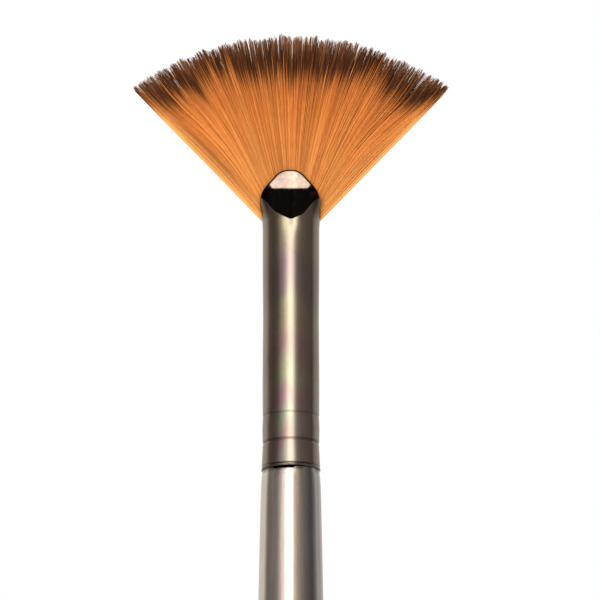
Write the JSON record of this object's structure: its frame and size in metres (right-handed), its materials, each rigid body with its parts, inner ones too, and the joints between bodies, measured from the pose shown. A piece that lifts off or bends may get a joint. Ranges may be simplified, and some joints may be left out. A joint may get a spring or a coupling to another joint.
{
  "type": "paint brush",
  "caption": "Fan paint brush: flat fan-shaped tuft in a round metal ferrule with a pinched mouth, on a short tapered wooden handle.",
  "frame": {"origin": "centre of the small flat at the handle's tail, on the brush's axis", "axes": "+Z along the brush from the tail to the hair tips, X across the fan, front of the fan faces -Y"},
  "size_m": [0.0368, 0.008, 0.1975],
  "materials": {
    "handle_lacquer": "pearl grey lacquer on turned hardwood, glossy",
    "adhesive": "cured glue film, hidden",
    "ferrule_plating": "seamless brass tube with a dark nickel plating, polished",
    "resin": "cast resin, hidden",
    "filament_root": "packed synthetic filaments, golden brown",
    "filament": "synthetic filaments, golden brown with dark brown tips, satin"
  },
  "bodies": {
    "brush": {"handle": "handle_lacquer", "handle_adhesive": "adhesive", "ferrule": "ferrule_plating", "root_plug": "resin", "root_bundle": "filament_root"},
    "tuft": {"lock_01": "filament", "lock_02": "filament", "lock_03": "filament", "lock_04": "filament", "lock_05": "filament", "lock_06": "filament", "lock_07": "filament", "lock_08": "filament", "lock_09": "filament", "lock_10": "filament", "lock_11": "filament", "lock_12": "filament", "lock_13": "filament", "lock_14": "filament", "lock_15": "filament", "lock_16": "filament", "lock_17": "filament", "lock_18": "filament", "lock_19": "filament", "lock_20": "filament", "lock_21": "filament", "lock_22": "filament", "lock_23": "filament", "lock_24": "filament", "lock_25": "filament"}
  },
  "joints": [
    {"name": "tuft_flex", "type": "hinge", "parent": "brush", "child": "tuft", "pos_m": [0, 0, 0.1809], "axis": [1, 0, 0], "range_deg": [-30, 30], "stiffness_Nm_per_rad": 0.002}
  ]
}
